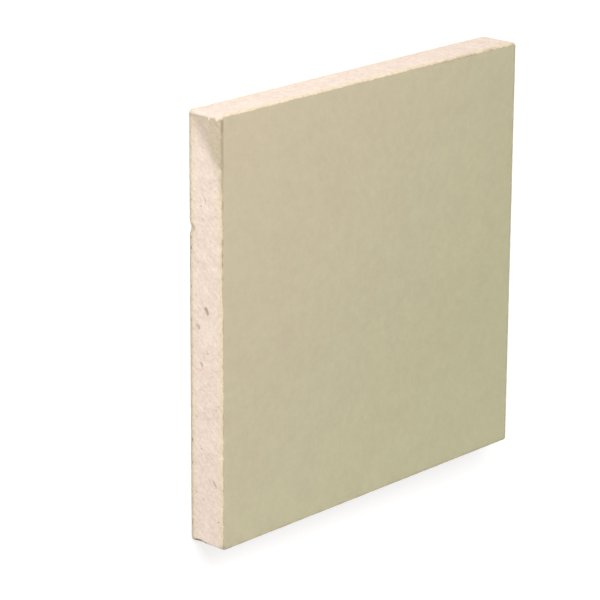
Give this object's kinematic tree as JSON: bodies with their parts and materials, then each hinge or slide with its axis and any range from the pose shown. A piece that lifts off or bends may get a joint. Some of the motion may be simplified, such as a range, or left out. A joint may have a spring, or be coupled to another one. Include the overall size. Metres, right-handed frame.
{
  "type": "drywall sheet",
  "caption": "Square piece of drywall, a gypsum core between a face paper and a back paper, with sawn edges and a chipped corner, for lining walls and ceilings.",
  "frame": {"origin": "on the floor under the middle of the back paper", "axes": "+X across the face away from the rough sawn end, +Y up the face to the top edge, +Z out of the face"},
  "size_m": [0.125, 0.125, 0.0125],
  "materials": {
    "gypsum": "sawn, dusty and matt",
    "face_paper": "smooth matt liner paper",
    "back_paper": "matt recycled liner paper"
  },
  "bodies": {
    "root": {"gypsum_core": "gypsum", "face_paper": "face_paper", "back_paper": "back_paper"}
  },
  "joints": []
}
